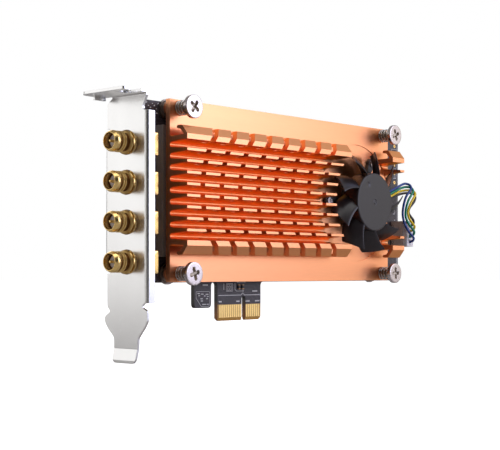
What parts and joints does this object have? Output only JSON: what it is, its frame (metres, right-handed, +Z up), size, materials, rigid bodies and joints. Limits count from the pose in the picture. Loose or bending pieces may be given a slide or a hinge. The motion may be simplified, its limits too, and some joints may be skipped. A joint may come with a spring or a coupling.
{
  "type": "wireless network adapter card",
  "caption": "Low-profile wireless adapter card with a finned heatsink and small fan, a slot bracket with threaded antenna jacks and a one-lane edge connector.",
  "frame": {"origin": "middle of the contact edge's key notch at the contacts' lower edge, in the middle of the board's thickness", "axes": "+X from the bracket towards the far end of the card, +Z up from the contact edge, the heatsink and fan face -Y"},
  "size_m": [0.1601, 0.0194, 0.0811],
  "materials": {
    "bracket": "satin",
    "board": "solder mask",
    "gold_contacts": "gold plated",
    "jack": "gold plated",
    "insulator": "plain",
    "heatsink": "copper anodised",
    "screw_steel": "plated",
    "spring_steel": "bright",
    "standoff_metal": "plated",
    "shield_can": "dark",
    "chip_body": "plain",
    "coil_body": "plain",
    "crystal_can": "plain",
    "thermal_pad": "soft",
    "small_part": "plain",
    "fan_frame": "plain",
    "bearing_bronze": "sintered",
    "shaft_steel": "ground",
    "retainer": "plain",
    "fan_board": "solder mask",
    "stator_steel": "plain",
    "copper_wire": "enamelled",
    "fan_plastic": "plain",
    "yoke_steel": "plain",
    "magnet": "plain",
    "header_plastic": "plain",
    "plug_plastic": "plain",
    "crimp_metal": "tinned",
    "wire_blue": "insulation",
    "wire_green": "insulation",
    "wire_yellow": "insulation",
    "wire_black": "insulation"
  },
  "bodies": {
    "card": {"bracket": "bracket", "circuit_board": "board", "edge_contacts": "gold_contacts", "antenna_jack_1": "jack", "antenna_jack_2": "jack", "antenna_jack_3": "jack", "antenna_jack_4": "jack", "jack_insulators": "insulator", "jack_pins": "gold_contacts", "heatsink": "heatsink", "heatsink_screws": "screw_steel", "screw_springs": "spring_steel", "board_standoffs": "standoff_metal", "radio_shield_1": "shield_can", "radio_shield_2": "shield_can", "radio_chips": "chip_body", "bridge_chip": "chip_body", "memory_chip": "chip_body", "power_coil": "coil_body", "crystal": "crystal_can", "thermal_pads": "thermal_pad", "front_small_parts": "small_part", "rear_small_parts": "small_part", "test_points": "gold_contacts", "fan_base": "fan_frame", "fan_bearing": "bearing_bronze", "fan_circuit_board": "fan_board", "fan_stator": "stator_steel", "fan_windings": "copper_wire", "fan_screws": "screw_steel", "fan_header": "header_plastic", "header_pins": "gold_contacts", "fan_plug": "plug_plastic", "plug_contacts": "crimp_metal", "wire_blue": "wire_blue", "wire_green": "wire_green", "wire_yellow": "wire_yellow", "wire_black": "wire_black"},
    "rotor": {"fan_rotor": "fan_plastic", "rotor_yoke": "yoke_steel", "rotor_magnet": "magnet", "fan_shaft": "shaft_steel", "shaft_retainer": "retainer"}
  },
  "joints": [
    {"name": "fan_spin", "type": "hinge", "parent": "card", "child": "rotor", "pos_m": [0.05435, -0.011, 0.041], "axis": [0, -1, 0], "continuous": true}
  ]
}
